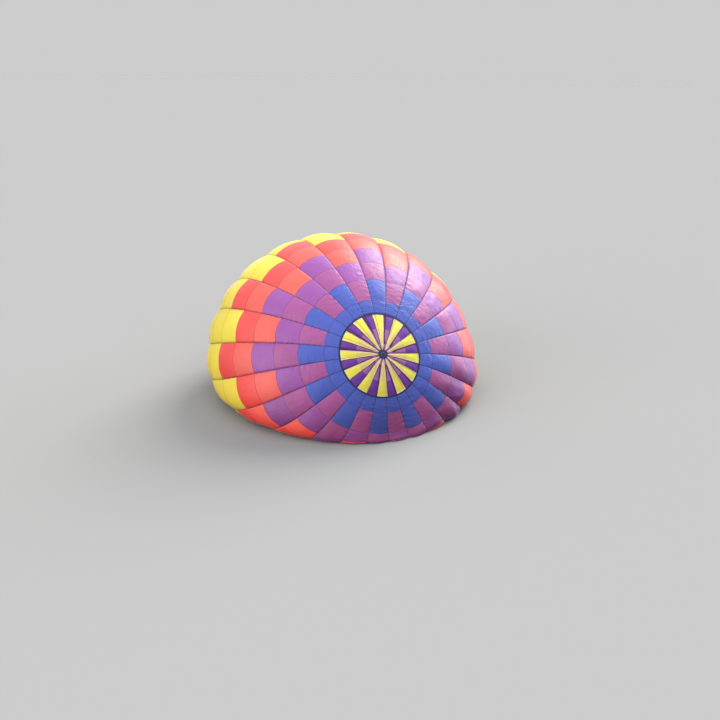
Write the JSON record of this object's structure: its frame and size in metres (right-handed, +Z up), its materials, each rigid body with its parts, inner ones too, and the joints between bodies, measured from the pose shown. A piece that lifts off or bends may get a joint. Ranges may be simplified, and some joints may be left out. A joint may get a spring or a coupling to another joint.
{
  "type": "hot air balloon",
  "caption": "Hot air balloon lying on its side, half filled: striped envelope of puffed gores with a round parachute vent in the crown, mouth, wires, burner and wicker basket.",
  "frame": {"origin": "middle of the air inside the envelope, 4.4 m above the ground that it lies on and 5.5 m behind the crown ring", "axes": "+Z up, +X from the basket and mouth towards the crown, +Y to the right of someone who faces the crown"},
  "size_m": [21.6163, 17.0681, 9.3823],
  "materials": {
    "ripstop_yellow": "coated ripstop cloth, soft sheen",
    "ripstop_coral": "coated ripstop cloth, soft sheen",
    "ripstop_plum": "coated ripstop cloth, soft sheen",
    "ripstop_violet": "coated ripstop cloth, soft sheen",
    "ripstop_blue": "coated ripstop cloth, soft sheen",
    "nomex": "matt heat-resistant cloth",
    "webbing": "woven polyester load tape",
    "steel": "satin stainless steel",
    "brass": "dull machined brass",
    "wicker": "woven willow and cane",
    "hide": "stitched brown hide over padding",
    "plywood": "varnished birch ply",
    "cylinder_paint": "white enamel"
  },
  "bodies": {
    "balloon": {"gore_01": "ripstop_coral", "gore_02": "ripstop_plum", "gore_03": "ripstop_coral", "gore_04": "ripstop_plum", "gore_05": "ripstop_coral", "gore_06": "ripstop_plum", "gore_07": "ripstop_coral", "gore_08": "ripstop_plum", "gore_09": "ripstop_coral", "gore_10": "ripstop_plum", "gore_11": "ripstop_coral", "gore_12": "ripstop_plum", "gore_13": "ripstop_coral", "gore_14": "ripstop_plum", "gore_15": "ripstop_coral", "gore_16": "ripstop_plum", "gore_17": "ripstop_coral", "gore_18": "ripstop_plum", "gore_19": "ripstop_coral", "gore_20": "ripstop_plum", "gore_21": "ripstop_coral", "gore_22": "ripstop_plum", "gore_23": "ripstop_coral", "gore_24": "ripstop_plum", "crown_ring_and_tapes": "webbing", "mouth_band": "webbing", "flying_wires_1": "steel", "flying_wires_2": "steel", "flying_wires_3": "steel", "flying_wires_4": "steel", "load_frame": "steel", "upright_1": "hide", "upright_2": "hide", "upright_3": "hide", "upright_4": "hide", "basket_wall": "wicker", "basket_floor": "plywood", "basket_rim": "hide", "runner_left": "plywood", "runner_middle": "plywood", "runner_right": "plywood", "fuel_cylinder_1": "cylinder_paint", "fuel_cylinder_2": "cylinder_paint", "fuel_cylinder_3": "cylinder_paint", "fuel_cylinder_4": "cylinder_paint"},
    "parachute": {"parachute_valve": "ripstop_yellow"},
    "gimbal": {"gimbal_frame": "steel"},
    "burner": {"burner_block": "brass", "burner_can_lower": "steel", "burner_can_upper": "steel", "burner_coil_lower": "steel", "burner_coil_upper": "steel"}
  },
  "joints": [
    {"name": "parachute_slide", "type": "slide", "parent": "balloon", "child": "parachute", "axis": [-0.829, 0, -0.5592], "range_m": [0, 1]},
    {"name": "gimbal_tilt", "type": "hinge", "parent": "balloon", "child": "gimbal", "pos_m": [-11.95, 0, -3.765], "axis": [0, 1, 0], "range_deg": [-12, 12]},
    {"name": "burner_swing", "type": "hinge", "parent": "gimbal", "child": "burner", "pos_m": [-11.95, 0, -3.765], "axis": [0, 0, 1], "range_deg": [-12, 12]}
  ]
}
